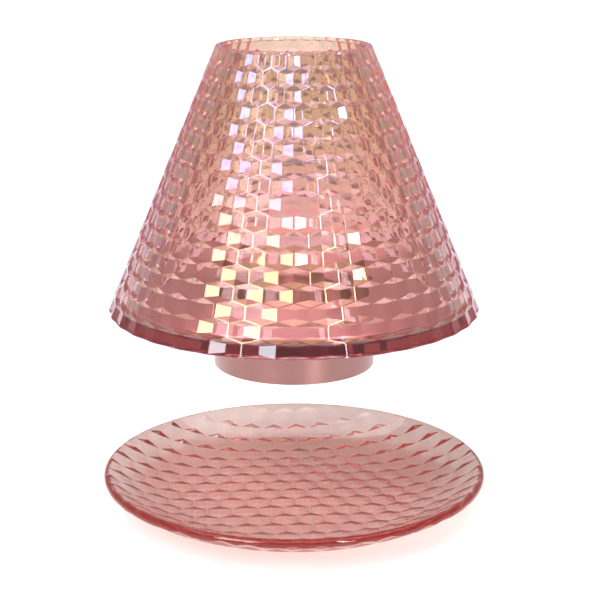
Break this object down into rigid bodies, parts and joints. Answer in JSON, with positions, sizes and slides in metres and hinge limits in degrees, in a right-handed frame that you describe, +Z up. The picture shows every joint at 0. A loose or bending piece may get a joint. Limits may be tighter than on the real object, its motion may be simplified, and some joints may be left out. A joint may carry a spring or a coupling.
{
  "type": "candle jar shade and tray",
  "caption": "Conical honeycomb-pressed glass shade bonded to a metal collar that sits on a candle jar, above a matching shallow round glass tray.",
  "frame": {"origin": "centre of the tray's underside, on the surface that the tray stands on", "axes": "+Z up along the common axis of the tray, the collar and the shade; -Y towards the front"},
  "size_m": [0.2, 0.2, 0.2401],
  "materials": {
    "lustre_glass": "pink pressed glass with an iridescent lustre on the outer face",
    "pink_glass": "pink pressed glass, fire polished",
    "rose_metal": "satin rose lacquer on sheet metal",
    "clear_silicone": "translucent silicone"
  },
  "bodies": {
    "tray": {"tray": "pink_glass"},
    "shade": {"glass_shade": "lustre_glass", "holder_plate": "rose_metal", "jar_collar": "rose_metal", "bonding_bead": "clear_silicone"}
  },
  "joints": [
    {"name": "shade_lift", "type": "slide", "parent": "tray", "child": "shade", "axis": [0, 0, 1], "range_m": [0, 0.12]}
  ]
}
